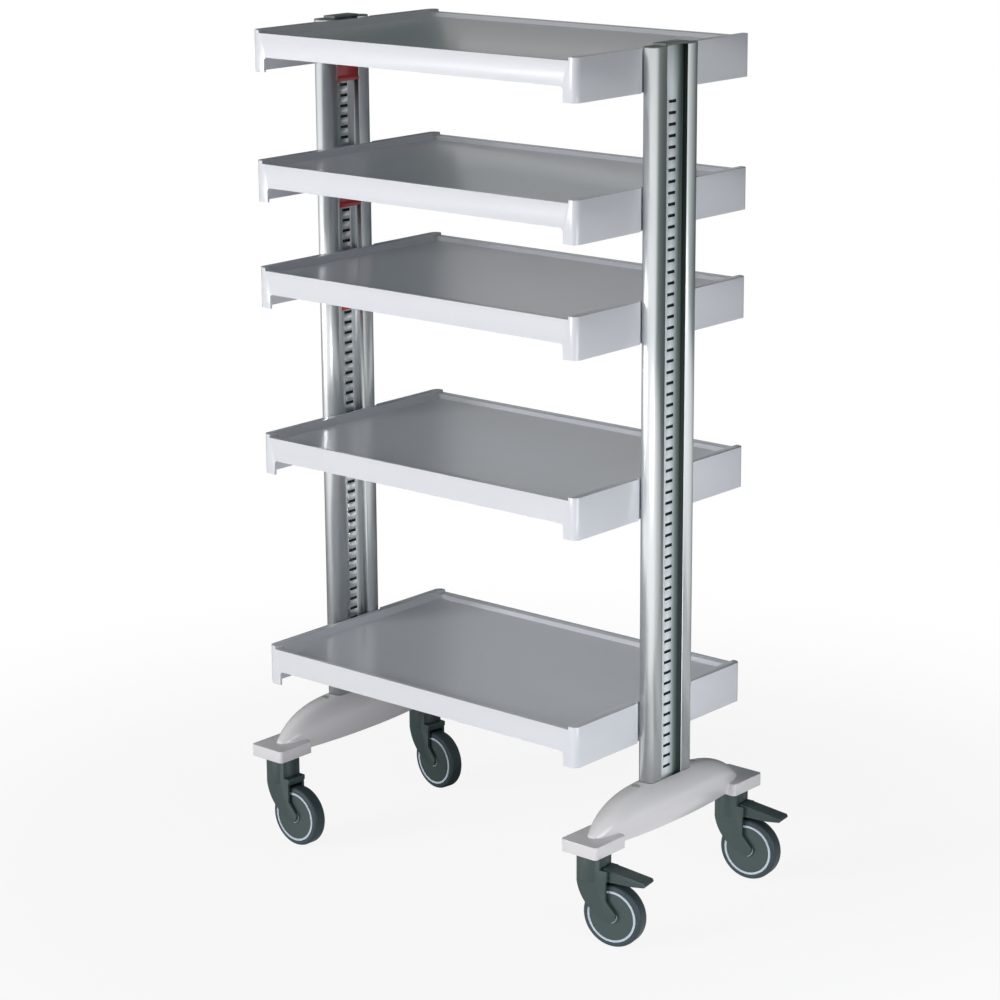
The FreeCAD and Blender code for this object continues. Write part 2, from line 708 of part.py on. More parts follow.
def make_wheel(castor):
    name = castor[0]
    bore, boss, hub = "axle_radius + running_gap", "hub_boss", "(half_well - hub_gap)"
    half = [(hub, bore), (hub, boss), ("rim_web / 2", boss), ("rim_web / 2", "rim_hollow"),
            ("half_rim", "rim_hollow"), ("half_rim", "rim_outer"), ("half_seat", "rim_outer"),
            ("half_seat", "rim_band")]
    mirrored = [("-" + x, y) for x, y in reversed(half)]
    stand_wheel(turned(f"castor_{name}_rim", half + mirrored), castor)
    tread = "wheel_radius - tyre_round"
    stand_wheel(turned(f"castor_{name}_tyre", [
        ("-half_seat", "rim_band"), ("half_seat", "rim_band"), ("half_seat", "rim_outer"),
        ("half_tyre", "rim_outer + rim_proud"), ("half_tyre", tread, "tyre_round"),
        ("half_tyre - tyre_round", "wheel_radius"), ("-half_tyre + tyre_round", "wheel_radius", "tyre_round"),
        ("-half_tyre", tread), ("-half_tyre", "rim_outer + rim_proud"), ("-half_seat", "rim_outer"),
    ]), castor)
    covers = []
    for sign in ("", "-"):
        inner = f"{sign}(half_tyre - cover_depth)"
        covers.append(turned(f"cover_{name}_{'far' if sign else 'near'}", [
            (inner, "hub_boss + cover_gap"), (inner, "rim_hollow - cover_gap"),
            (f"{sign}half_tyre", "rim_hollow - cover_gap"), (f"{sign}half_rim", "hub_boss + cover_gap"),
        ]))
        stand_wheel(covers[-1], castor)
    group(f"castor_{name}_covers", covers)


def make_pedal(castor):
    """The brake pedal: a wedge that hangs on its pin between the cheeks and thins towards the toe."""
    name = castor[0]
    pedal = new_body(f"castor_{name}_pedal")
    side = new_sketch(pedal, "XZ_Plane")
    heel, toe = "head_radius + pedal_root_gap", "pedal_tip - pedal_tip_thickness"
    outline(side, [
        (heel, "pedal_pin_height - head_seat"), ("pedal_pin_reach + pedal_heel_cut", "pedal_bottom"),
        ("pedal_belly", "pedal_bottom"), ("pedal_reach - pedal_toe_bevel", toe),
        ("pedal_reach", "pedal_tip - pedal_toe_drop"), ("pedal_reach - pedal_toe_bevel", "pedal_tip"),
        (heel, "pedal_root"),
    ])
    extrude(pedal, "Pad", side, "2 * half_pedal", symmetric=True)
    bore = new_sketch(pedal, "XZ_Plane")
    circle(bore, "pedal_pin_reach", "pedal_pin_height", "pedal_pin_radius + running_gap")
    extrude(pedal, "Pocket", bore, "2 * half_fork", symmetric=True)
    stand_castor(pedal, castor)


def make_stems_and_washers():
    stems, washers = [], []
    for name, side, end, _, _ in CASTORS:
        x, y = f"({side}) * column_x", f"({end}) * castor_y"
        stem = new_body("stem_" + name)
        shaft = new_sketch(stem, "XY_Plane")
        circle(shaft, "0", "0", "stem_radius")
        extrude(stem, "Pad", shaft, "pad_bottom + stem_reach - head_bottom - head_gap")
        flange = new_sketch(stem, "XY_Plane")
        circle(flange, "0", "0", "flange_radius")
        extrude(stem, "Pad", flange, "flange_height")
        stems.append(place(stem, x, y, "head_bottom + head_gap"))
        washer = new_body("washer_" + name)
        ring = new_sketch(washer, "XY_Plane")
        circle(ring, "0", "0", "washer_radius")
        circle(ring, "0", "0", "stem_radius")
        extrude(washer, "Pad", ring, "washer_thickness")
        washers.append(place(washer, x, y, "pad_bottom - washer_thickness"))
    group("castor_stems", stems)
    group("castor_washers", washers)


# Assembly

def build():
    plugs = []
    for name, side in (("right", 1), ("left", -1)):
        make_column(name, side)
        make_cap(name, side)
        make_foot(name, side)
        for end in (1, -1):
            plugs.append(plug_solid(f"plug_{name}_{end}", side * value("column_x"), end,
                                    value("plug_depth"), value("plug_rise")))
    group("foot_plugs", plugs)
    for number in range(1, 6):
        make_tray(number)
        make_guides(number)
        if number < 5:
            make_pivots(number)
            make_lock(number, "right", 1)
            make_lock(number, "left", -1)
    make_stems_and_washers()
    for castor in CASTORS:
        make_fork(castor)
        make_cross_pin(f"castor_{castor[0]}_axle", castor, "trail", "wheel_radius", "axle_radius")
        make_wheel(castor)
        if castor[4]:
            make_pedal(castor)
            make_cross_pin(f"castor_{castor[0]}_pedal_pin", castor, "pedal_pin_reach", "pedal_pin_height",
                           "pedal_pin_radius")


def finished_parts():
    """The objects that no other sub-part is made from, each a node of its own."""
    kinds = ("PartDesign::Body", "Part::Cut", "Part::Compound", "Part::Feature")
    used = set()
    for item in document.Objects:
        if item.TypeId == "Part::Compound":
            used.update(member.Name for member in item.Links)
        if item.TypeId == "Part::Cut":
            used.update((item.Base.Name, item.Tool.Name))
    return [item for item in document.Objects if item.TypeId in kinds and item.Name not in used]


def check_and_write():
    document.recompute()
    for item in document.Objects:
        if "Invalid" in item.State or "Error" in item.State:
            raise RuntimeError(f"{item.Label} failed: {item.State}")
    parts = finished_parts()
    for part in parts:
        if part.Shape.isNull() or not part.Shape.isValid():
            raise RuntimeError(f"{part.Label} has no valid shape")
    os.makedirs("parts", exist_ok=True)
    for part in parts:
        part.Shape.exportStep(f"parts/{part.Label}.step")
        print(part.Label, len(part.Shape.Solids), "solids", round(part.Shape.Volume / 1000, 1), "cm3")
    print(len(parts), "sub-parts")


build()
check_and_write()
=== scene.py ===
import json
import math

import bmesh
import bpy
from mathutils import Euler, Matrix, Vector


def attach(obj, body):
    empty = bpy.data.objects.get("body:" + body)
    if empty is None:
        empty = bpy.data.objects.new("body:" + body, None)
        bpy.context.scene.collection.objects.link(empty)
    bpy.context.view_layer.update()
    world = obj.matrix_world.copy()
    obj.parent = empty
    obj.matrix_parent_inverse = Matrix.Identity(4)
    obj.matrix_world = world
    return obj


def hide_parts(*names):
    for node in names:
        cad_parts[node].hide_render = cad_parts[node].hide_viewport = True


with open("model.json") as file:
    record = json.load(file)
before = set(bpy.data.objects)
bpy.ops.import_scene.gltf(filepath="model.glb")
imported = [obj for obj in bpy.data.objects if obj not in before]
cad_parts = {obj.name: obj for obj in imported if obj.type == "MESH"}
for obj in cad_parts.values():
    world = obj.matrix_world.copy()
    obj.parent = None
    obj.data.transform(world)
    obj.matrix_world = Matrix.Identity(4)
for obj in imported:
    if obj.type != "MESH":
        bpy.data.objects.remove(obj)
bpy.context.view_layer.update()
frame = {"nodes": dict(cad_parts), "record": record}

# %% [markdown]
# # A medical trolley, dressed for the studio
#
# The trolley has five moulded trays that hang between two slotted aluminium columns. Each column
# stands in an arched casting, and each casting runs on two swivel castors. The frame that was just
# loaded already holds every rigid piece at its real size, in metres. This lesson gives the pieces
# soft edges, adds the small things that repeat, and finishes each surface with its own material.

NODES = frame["nodes"]
BODY_OF = {node: body for body, members in frame["record"]["behaviour"]["bodies"].items() for node in members}
TRAYS = [f"tray_{number}" for number in range(1, 6)]
SIDES = ("right", "left")
MM = 0.001

TOLERANCE = 0.05 * MM

# %% [markdown]
# ## The camera
#
# The photographer stood to the right of the trolley's front, a little above its middle, with a long
# lens. The place, the angles and the focal length below were fitted to the corners of the five trays,
# which are the sharpest known points in the picture.

# %% Camera
CAMERA_PLACE = (2.9497, -3.4397, 1.8214)
CAMERA_AZIMUTH = 40.64
CAMERA_ELEVATION = 15.0
CAMERA_ROLL = -0.36
FOCAL_LENGTH = 105.4
SENSOR = 36.0

camera_data = bpy.data.cameras.new("camera")
camera_data.sensor_width = SENSOR
camera_data.lens = FOCAL_LENGTH
camera = bpy.data.objects.new("camera", camera_data)
bpy.context.scene.collection.objects.link(camera)
camera.location = CAMERA_PLACE
look = Euler((math.radians(90 - CAMERA_ELEVATION), 0, math.radians(CAMERA_AZIMUTH)), "XYZ").to_matrix()
camera.rotation_euler = (look @ Matrix.Rotation(math.radians(CAMERA_ROLL), 3, "Z")).to_euler()
bpy.context.scene.camera = camera
print("camera: lens", FOCAL_LENGTH, "mm at", CAMERA_PLACE)

# %% [markdown]
# ## The studio
#
# A product shot on white needs a floor that catches the shadow, a background that stays white, and
# broad lamps. Here the main softbox stands low, to the left of the camera, so the front skirts of the
# trays are the brightest surfaces, and the decks and the right-hand sides stay a step darker. That
# step is what lets white plastic keep its shape.
#
# The world does three jobs, and Light Path tells them apart. The camera sees plain white. Light that
# falls on the object is a dim fill, weaker from straight above, so the decks stay darker than the
# skirts. Reflections see a room that is white in front and a dark grey-green behind, because bare
# metal that only mirrors white looks like paper.

# %% The world
FILL_AROUND = 0.24
FILL_ABOVE = 0.08
ROOM_BRIGHT = (1.0, 1.0, 1.0)
ROOM_DARK = (0.035, 0.06, 0.056)
ROOM_BRIGHT_SIDE = (0.2, -0.85, 0.5)
ROOM_TURNS_DARK, ROOM_TURNS_BRIGHT = -0.55, 0.45


def make_world():
    world = bpy.data.worlds.new("studio")
    world.use_nodes = True
    nodes, links = world.node_tree.nodes, world.node_tree.links
    nodes.clear()
    path, where = nodes.new("ShaderNodeLightPath"), nodes.new("ShaderNodeTexCoord")
    backgrounds = {}
    for name, colour in (("seen", (1, 1, 1, 1)), ("fill", (0.90, 0.97, 1.0, 1)), ("room", (1, 1, 1, 1))):
        backgrounds[name] = nodes.new("ShaderNodeBackground")
        backgrounds[name].inputs["Color"].default_value = colour
    axes, above = nodes.new("ShaderNodeSeparateXYZ"), nodes.new("ShaderNodeMapRange")
    above.inputs["To Min"].default_value = FILL_AROUND
    above.inputs["To Max"].default_value = FILL_ABOVE
    links.new(where.outputs["Generated"], axes.inputs[0])
    links.new(axes.outputs["Z"], above.inputs["Value"])
    links.new(above.outputs["Result"], backgrounds["fill"].inputs["Strength"])
    side = nodes.new("ShaderNodeVectorMath")
    side.operation = "DOT_PRODUCT"
    side.inputs[1].default_value = ROOM_BRIGHT_SIDE
    links.new(where.outputs["Generated"], side.inputs[0])
    level = nodes.new("ShaderNodeMapRange")
    level.interpolation_type = "SMOOTHSTEP"
    level.inputs["From Min"].default_value = ROOM_TURNS_DARK
    level.inputs["From Max"].default_value = ROOM_TURNS_BRIGHT
    links.new(side.outputs["Value"], level.inputs["Value"])
    room = nodes.new("ShaderNodeMix")
    room.data_type = "RGBA"
    room.inputs["A"].default_value = (*ROOM_DARK, 1)
    room.inputs["B"].default_value = (*ROOM_BRIGHT, 1)
    links.new(level.outputs["Result"], room.inputs["Factor"])
    links.new(room.outputs["Result"], backgrounds["room"].inputs["Color"])
    either = nodes.new("ShaderNodeMath")
    either.operation = "MAXIMUM"
    links.new(path.outputs["Is Camera Ray"], either.inputs[0])
    links.new(path.outputs["Is Transmission Ray"], either.inputs[1])
    reflected, shown = nodes.new("ShaderNodeMixShader"), nodes.new("ShaderNodeMixShader")
    links.new(path.outputs["Is Glossy Ray"], reflected.inputs[0])
    links.new(backgrounds["fill"].outputs[0], reflected.inputs[1])
    links.new(backgrounds["room"].outputs[0], reflected.inputs[2])
    links.new(either.outputs[0], shown.inputs[0])
    links.new(reflected.outputs[0], shown.inputs[1])
    links.new(backgrounds["seen"].outputs[0], shown.inputs[2])
    links.new(shown.outputs[0], nodes.new("ShaderNodeOutputWorld").inputs["Surface"])
    bpy.context.scene.world = world


make_world()
print("world: fill", FILL_AROUND, "around and", FILL_ABOVE, "above")

# %% [markdown]
# The floor is one large plane of white paper. Close to the trolley it is an ordinary diffuse surface,
# so the castors get their soft contact shadows. Further out it fades to plain white for the camera,
# and there is no horizon line. Upright metal mirrors the floor, because the camera looks down a
# little, so reflections see paper that is bright in front and to the right, and dark behind and to
# the left.

# %% The floor
FLOOR_SIZE = 60.0
SHADOW_REACH = 0.55
WHITE_REACH = 1.7
NEAR_WHITE = 0.88
MIRRORED_BRIGHT = 1.05
MIRRORED_DARK = 0.08
MIRRORED_SIDE = (0.65, -0.76, 0.0)
MIRROR_TURNS_DARK, MIRROR_TURNS_BRIGHT = -0.95, 0.45
PAPER = (0.9, 0.9, 0.9)
PAPER_ROUGHNESS = 0.9
PAPER_SPECULAR = 0.1


def make_floor():
    mesh = bpy.data.meshes.new("floor")
    half = FLOOR_SIZE / 2
    corners = [(-half, -half, 0), (half, -half, 0), (half, half, 0), (-half, half, 0)]
    mesh.from_pydata(corners, [], [(0, 1, 2, 3)])
    floor = bpy.data.objects.new("floor", mesh)
    bpy.context.scene.collection.objects.link(floor)
    material = bpy.data.materials.new("floor_paper")
    material.use_nodes = True
    nodes, links = material.node_tree.nodes, material.node_tree.links
    paper = nodes["Principled BSDF"]
    paper.inputs["Base Color"].default_value = (*PAPER, 1)
    paper.inputs["Roughness"].default_value = PAPER_ROUGHNESS
    paper.inputs["Specular IOR Level"].default_value = PAPER_SPECULAR
    white = nodes.new("ShaderNodeEmission")
    where, path = nodes.new("ShaderNodeTexCoord"), nodes.new("ShaderNodeLightPath")
    distance = nodes.new("ShaderNodeVectorMath")
    distance.operation = "LENGTH"
    links.new(where.outputs["Object"], distance.inputs[0])
    fade = nodes.new("ShaderNodeMapRange")
    fade.interpolation_type = "SMOOTHSTEP"
    for socket, number in (("From Min", SHADOW_REACH), ("From Max", WHITE_REACH),
                           ("To Min", NEAR_WHITE), ("To Max", 1.0)):
        fade.inputs[socket].default_value = number
    links.new(distance.outputs["Value"], fade.inputs["Value"])
    seen = nodes.new("ShaderNodeMath")
    seen.operation = "MULTIPLY"
    links.new(path.outputs["Is Camera Ray"], seen.inputs[0])
    links.new(fade.outputs["Result"], seen.inputs[1])
    way, side = nodes.new("ShaderNodeVectorMath"), nodes.new("ShaderNodeVectorMath")
    way.operation = "NORMALIZE"
    side.operation = "DOT_PRODUCT"
    side.inputs[1].default_value = MIRRORED_SIDE
    links.new(where.outputs["Object"], way.inputs[0])
    links.new(way.outputs["Vector"], side.inputs[0])
    mirrored = nodes.new("ShaderNodeMapRange")
    mirrored.interpolation_type = "SMOOTHSTEP"
    for socket, number in (("From Min", MIRROR_TURNS_DARK), ("From Max", MIRROR_TURNS_BRIGHT),
                           ("To Min", MIRRORED_DARK), ("To Max", MIRRORED_BRIGHT)):
        mirrored.inputs[socket].default_value = number
    links.new(side.outputs["Value"], mirrored.inputs["Value"])
    strength = nodes.new("ShaderNodeMix")
    strength.inputs["A"].default_value = 1.0
    links.new(path.outputs["Is Glossy Ray"], strength.inputs["Factor"])
    links.new(mirrored.outputs["Result"], strength.inputs["B"])
    links.new(strength.outputs["Result"], white.inputs["Strength"])
    share = nodes.new("ShaderNodeMath")
    share.operation = "MAXIMUM"
    links.new(seen.outputs[0], share.inputs[0])
    links.new(path.outputs["Is Glossy Ray"], share.inputs[1])
    mix = nodes.new("ShaderNodeMixShader")
    links.new(share.outputs[0], mix.inputs[0])
    links.new(paper.outputs[0], mix.inputs[1])
    links.new(white.outputs[0], mix.inputs[2])
    links.new(mix.outputs[0], nodes["Material Output"].inputs["Surface"])
    mesh.materials.append(material)


make_floor()
print("floor:", FLOOR_SIZE, "m wide, plain white from", WHITE_REACH, "m out")

# %% [markdown]
# All five lamps are soft squares. The key stands in front on the left. A low one on the right lights
# the lower side faces more than the upper ones, and a weak one hangs above. Two weak ones behind the
# trolley on the left lie as soft reflections on the decks. The camera doesn't see the lamps.

# %% Lamps
LAMPS = {
    "key": {"place": (-2.3, -5.0, 1.5), "aim": (0.0, 0.0, 0.75), "size": 2.6, "power": 215.0},
    "side": {"place": (1.6, -0.5, 0.30), "aim": (0.3, 0.0, 0.45), "size": 0.9, "power": 13.0,
             "colour": (0.94, 0.97, 1.0)},
    "top": {"place": (0.2, 1.4, 4.6), "aim": (0.0, 0.0, 0.6), "size": 2.6, "power": 3.0,
            "colour": (0.90, 0.98, 1.0)},
    "glow": {"place": (-2.0, 2.8, 1.9), "aim": (0.0, 0.1, 1.15), "size": 0.9, "power": 0.9,
             "colour": (1.0, 0.93, 0.92)},
    "low_glow": {"place": (-2.0, 2.8, 1.15), "aim": (0.0, 0.1, 0.35), "size": 0.8, "power": 0.9,
                 "colour": (0.92, 0.97, 1.0)},
}


def make_lamp(name, place, aim, size, power, colour=(1.0, 1.0, 1.0)):
    data = bpy.data.lights.new(name, "AREA")
    data.color = colour
    data.shape = "SQUARE"
    data.size = size
    data.energy = power
    lamp = bpy.data.objects.new(name, data)
    lamp.visible_camera = False
    lamp.location = place
    lamp.rotation_euler = (Vector(aim) - Vector(place)).to_track_quat("-Z", "Y").to_euler()
    bpy.context.scene.collection.objects.link(lamp)


for lamp_name, values in LAMPS.items():
    make_lamp(lamp_name, **values)
bpy.context.scene.view_settings.view_transform = "Standard"
print("lamps:", ", ".join(LAMPS))

# %% [markdown]
# ## Materials
#
# Every surface here is moulded, extruded, cast or painted, and each of those leaves its own mark.
# One builder makes the shader: a base colour that wanders a little with a slow noise, a roughness
# that wanders with another, and a bump from a fine grain. The scales are real sizes, because all
# patterns read Object coordinates, which are metres here.

# %% A builder for procedural finishes
COAT_ROUGHNESS = 0.12
SLOW_DETAIL = 4.0
FINE_DETAIL = 3.0
BUMP_STRENGTH = 0.35


def finish(name, colour, shade, roughness, spread, grain, depth, stretch=(1, 1, 1), metal=0.0,
           coat=0.0, drift=6.0, specular=0.5):
    """A material: base colour and shade mixed by drift, roughness plus or minus spread, grain per metre."""
    material = bpy.data.materials.new(name)
    material.use_nodes = True
    nodes, links = material.node_tree.nodes, material.node_tree.links
    shader = nodes["Principled BSDF"]
    shader.inputs["Metallic"].default_value = metal
    shader.inputs["Specular IOR Level"].default_value = specular
    shader.inputs["Coat Weight"].default_value = coat
    shader.inputs["Coat Roughness"].default_value = COAT_ROUGHNESS
    where = nodes.new("ShaderNodeTexCoord")
    mapping = nodes.new("ShaderNodeMapping")
    mapping.inputs["Scale"].default_value = stretch
    links.new(where.outputs["Object"], mapping.inputs["Vector"])
    slow, fine = nodes.new("ShaderNodeTexNoise"), nodes.new("ShaderNodeTexNoise")
    slow.inputs["Scale"].default_value = drift
    slow.inputs["Detail"].default_value = SLOW_DETAIL
    fine.inputs["Scale"].default_value = grain
    fine.inputs["Detail"].default_value = FINE_DETAIL
    for noise in (slow, fine):
        links.new(mapping.outputs["Vector"], noise.inputs["Vector"])
    tint = nodes.new("ShaderNodeMix")
    tint.data_type = "RGBA"
    tint.inputs["A"].default_value = (*colour, 1)
    tint.inputs["B"].default_value = (*shade, 1)
    links.new(slow.outputs["Fac"], tint.inputs["Factor"])
    links.new(tint.outputs["Result"], shader.inputs["Base Color"])
    level = nodes.new("ShaderNodeMapRange")
    level.inputs["To Min"].default_value = roughness - spread
    level.inputs["To Max"].default_value = roughness + spread
    links.new(fine.outputs["Fac"], level.inputs["Value"])
    links.new(level.outputs["Result"], shader.inputs["Roughness"])
    bump = nodes.new("ShaderNodeBump")
    bump.inputs["Strength"].default_value = BUMP_STRENGTH
    bump.inputs["Distance"].default_value = depth
    links.new(fine.outputs["Fac"], bump.inputs["Height"])
    links.new(bump.outputs["Normal"], shader.inputs["Normal"])
    return material


# %% The finishes, one for each kind of surface
FINISHES = {
    "tray_plastic": finish("tray_plastic", (0.74, 0.75, 0.79), (0.71, 0.72, 0.76), 0.26, 0.04, 900, 0.00004,
                           coat=0.35),
    "column_aluminium": finish("column_aluminium", (0.80, 0.83, 0.84), (0.75, 0.78, 0.79), 0.30, 0.05, 260,
                               0.00002, stretch=(9, 9, 0.02), metal=0.82),
    "cap_plastic": finish("cap_plastic", (0.20, 0.22, 0.22), (0.16, 0.18, 0.18), 0.5, 0.06, 1500, 0.0001),
    "foot_casting": finish("foot_casting", (0.76, 0.735, 0.745), (0.71, 0.685, 0.695), 0.32, 0.05, 420,
                           0.0001, coat=0.5),
    "foot_plug_plastic": finish("foot_plug_plastic", (0.40, 0.38, 0.39), (0.36, 0.35, 0.36), 0.45, 0.05,
                                900, 0.0001),
    "washer_plastic": finish("washer_plastic", (0.70, 0.71, 0.72), (0.64, 0.65, 0.66), 0.45, 0.05, 900,
                             0.0001),
    "guide_plastic": finish("guide_plastic", (0.10, 0.11, 0.11), (0.07, 0.08, 0.08), 0.5, 0.06, 1200, 0.0001),
    "lock_plastic": finish("lock_plastic", (0.70, 0.025, 0.035), (0.62, 0.02, 0.03), 0.3, 0.05, 900, 0.0001,
                           coat=0.5),
    "steel": finish("steel", (0.60, 0.60, 0.60), (0.50, 0.50, 0.50), 0.3, 0.08, 600, 0.00005, metal=1.0),
    "castor_plastic": finish("castor_plastic", (0.034, 0.058, 0.056), (0.026, 0.045, 0.043), 0.5, 0.06, 1600,
                             0.0002),
    "cover_plastic": finish("cover_plastic", (0.038, 0.063, 0.061), (0.030, 0.050, 0.048), 0.48, 0.06, 1600,
                            0.0002),
    "rim_plastic": finish("rim_plastic", (0.55, 0.62, 0.70), (0.50, 0.57, 0.65), 0.4, 0.05, 900, 0.0001),
    "castor_tyre": finish("castor_tyre", (0.026, 0.045, 0.052), (0.018, 0.032, 0.038), 0.62, 0.08, 700,
                          0.0003),
}
SLOT_OF = {part["node"]: part["material_slot"] for part in frame["record"]["subparts"]}
print("finishes:", ", ".join(FINISHES))


# %% [markdown]
# ## Soft edges
#
# A moulded or cast edge is never a knife edge: it is rounded by half a millimetre or more, and the
# round catches the light as a fine line. The rigid frame has sharp edges, so each visible piece is
# copied, its loose triangles are joined and its flat faces cleaned, and a Bevel modifier rounds what
# is left. The copy replaces the node and rides on the same body.

# %% Copy a node with rounded edges
SHARP = math.radians(28)
FLAT = math.radians(0.4)
LONG_EDGE = 100 * MM


def joined_copy(node):
    """A copy of a node's mesh with its loose triangles joined, as an editable bmesh."""
    work = bmesh.new()
    work.from_mesh(NODES[node].data)
    bmesh.ops.remove_doubles(work, verts=work.verts, dist=0.002 * MM)
    for face in work.faces:
        face.smooth = True
    return work


def mark_edges(work, shortest):
    """Give the sharp edges that are at least this long a bevel weight."""
    weight = work.edges.layers.float.new("bevel_weight_edge")
    for edge in work.edges:
        if edge.is_manifold and edge.calc_face_angle() > SHARP and edge.calc_length() >= shortest:
            edge[weight] = 1.0


def soft_copy(node, width, segments=3, shortest=0.0):
    """A copy of a node whose sharp edges are rounded by width."""
    work = joined_copy(node)
    if not shortest:
        bmesh.ops.dissolve_limit(work, angle_limit=FLAT, verts=work.verts, edges=work.edges)
    mark_edges(work, shortest)
    mesh = bpy.data.meshes.new(node + "_soft")
    work.to_mesh(mesh)
    work.free()
    piece = bpy.data.objects.new(node + "_soft", mesh)
    bpy.context.scene.collection.objects.link(piece)
    bevel = piece.modifiers.new("edges", "BEVEL")
    bevel.width = width
    bevel.segments = segments
    bevel.limit_method = "WEIGHT"
    bevel.harden_normals = True
    bevel.miter_outer = "MITER_ARC"
    return settle(piece)


def settle(piece):
    """Turn a piece's modifiers into plain mesh."""
    bpy.context.view_layer.update()
    graph = bpy.context.evaluated_depsgraph_get()
    plain = bpy.data.meshes.new_from_object(piece.evaluated_get(graph))
    old = piece.data
    piece.modifiers.clear()
    piece.data = plain
    bpy.data.meshes.remove(old)
    return piece


def dress(piece, slot, body, replaced=()):
    """Give a piece its finish, its body and the nodes that it stands for."""
    piece.data.materials.clear()
    piece.data.materials.append(FINISHES[slot])
    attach(piece, body)
    if replaced:
        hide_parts(*replaced)
    return piece


def soften(node, width, segments=3, shortest=0.0):
    piece = soft_copy(node, width, segments, shortest)
    return dress(piece, SLOT_OF[node], BODY_OF[node], (node,))


# %% Rounded edges for the rigid pieces
EDGE_WIDTHS = {
    "tray": 1.4 * MM, "column": 0.7 * MM, "foot": 1.2 * MM, "castor": 0.8 * MM, "lock": 0.5 * MM,
}
ROUNDED = {node: "tray" for node in TRAYS}
ROUNDED.update({f"column_cap_{side}": "column" for side in SIDES})
ROUNDED.update({f"foot_{side}": "foot" for side in SIDES})
ROUNDED.update({node: "castor" for node in NODES if node.endswith(("_fork", "_pedal"))})
ROUNDED.update({node: "lock" for node in NODES if node.startswith("lock_")})
softened = {node: soften(node, EDGE_WIDTHS[kind]) for node, kind in ROUNDED.items()}
for side in SIDES:
    column = f"column_{side}"
    softened[column] = soften(column, EDGE_WIDTHS["column"], shortest=LONG_EDGE)
face_count = sum(len(piece.data.polygons) for piece in softened.values())
print("softened:", len(softened), "pieces,", face_count, "faces")

# %% [markdown]
# ## The slot rows
#
# Each column has the same long row of slots on both faces of its web. A punched slot keeps a fine
# turned lip, which is what glints in the picture. Geometry Nodes makes one lip and repeats it along
# two lines, one for each face. The two rows are half a pitch apart, so the first slot of each, the
# pitch and the count are measured on the column.

# %% Measure the row of slots on a column
LIP_RADIUS = 0.3 * MM
LIP_SIDES = 6
SLOT_REACH = 12 * MM


def slot_row(column):
    """The faces of the web, the first slot on each, and the pitch, count and size of the slots."""
    places = [vertex.co for vertex in NODES[column].data.vertices]
    width = max(abs(place.y) for place in places if abs(place.y) < SLOT_REACH)
    edges = [place for place in places if abs(abs(place.y) - width) < TOLERANCE]
    planes = sorted({round(place.x, 5) for place in edges})
    row = {"Near": planes[0], "Far": planes[-1], "Width": 2 * width}
    for face in ("Near", "Far"):
        heights = sorted({round(place.z, 5) for place in edges if abs(place.x - row[face]) < TOLERANCE})
        lows, highs = heights[0::2], heights[1::2]
        row["First " + face] = (lows[0] + highs[0]) / 2
    row["Height"] = highs[0] - lows[0]
    row["Count"] = len(lows)
    row["Pitch"] = (lows[-1] - lows[0]) / (len(lows) - 1)
    return row


ROWS = {f"column_{side}": slot_row(f"column_{side}") for side in SIDES}
print("slots:", {column: (row["Count"], round(row["Pitch"], 4)) for column, row in ROWS.items()})

# %% A node tree that repeats the lip
def slot_lips_tree():
    tree = bpy.data.node_groups.new("slot_lips", "GeometryNodeTree")
    sockets = {}
    for name in ("First Near", "First Far", "Pitch", "Width", "Height", "Near", "Far"):
        sockets[name] = tree.interface.new_socket(name, in_out="INPUT", socket_type="NodeSocketFloat")
    sockets["Count"] = tree.interface.new_socket("Count", in_out="INPUT", socket_type="NodeSocketInt")
    sockets["Material"] = tree.interface.new_socket("Material", in_out="INPUT",
                                                    socket_type="NodeSocketMaterial")
    tree.interface.new_socket("Geometry", in_out="OUTPUT", socket_type="NodeSocketGeometry")
    nodes, links = tree.nodes, tree.links
    given, result = nodes.new("NodeGroupInput"), nodes.new("NodeGroupOutput")
    frame_curve = nodes.new("GeometryNodeCurvePrimitiveQuadrilateral")
    links.new(given.outputs["Width"], frame_curve.inputs["Width"])
    links.new(given.outputs["Height"], frame_curve.inputs["Height"])
    wire = nodes.new("GeometryNodeCurvePrimitiveCircle")
    wire.inputs["Resolution"].default_value = LIP_SIDES
    wire.inputs["Radius"].default_value = LIP_RADIUS
    lip = nodes.new("GeometryNodeCurveToMesh")
    links.new(frame_curve.outputs["Curve"], lip.inputs["Curve"])
    links.new(wire.outputs["Curve"], lip.inputs["Profile Curve"])
    upright = nodes.new("GeometryNodeTransform")
    upright.inputs["Rotation"].default_value = (math.pi / 2, 0, math.pi / 2)
    links.new(lip.outputs["Mesh"], upright.inputs["Geometry"])
    step = nodes.new("ShaderNodeCombineXYZ")
    links.new(given.outputs["Pitch"], step.inputs["Z"])
    rows = nodes.new("GeometryNodeJoinGeometry")
    for plane in ("Near", "Far"):
        start, line = nodes.new("ShaderNodeCombineXYZ"), nodes.new("GeometryNodeMeshLine")
        links.new(given.outputs[plane], start.inputs["X"])
        links.new(given.outputs["First " + plane], start.inputs["Z"])
        links.new(given.outputs["Count"], line.inputs["Count"])
        links.new(start.outputs[0], line.inputs["Start Location"])
        links.new(step.outputs[0], line.inputs["Offset"])
        links.new(line.outputs["Mesh"], rows.inputs["Geometry"])
    place = nodes.new("GeometryNodeInstanceOnPoints")
    links.new(rows.outputs["Geometry"], place.inputs["Points"])
    links.new(upright.outputs["Geometry"], place.inputs["Instance"])
    real, painted = nodes.new("GeometryNodeRealizeInstances"), nodes.new("GeometryNodeSetMaterial")
    links.new(place.outputs["Instances"], real.inputs["Geometry"])
    links.new(real.outputs["Geometry"], painted.inputs["Geometry"])
    links.new(given.outputs["Material"], painted.inputs["Material"])
    links.new(painted.outputs["Geometry"], result.inputs["Geometry"])
    return tree, {name: socket.identifier for name, socket in sockets.items()}


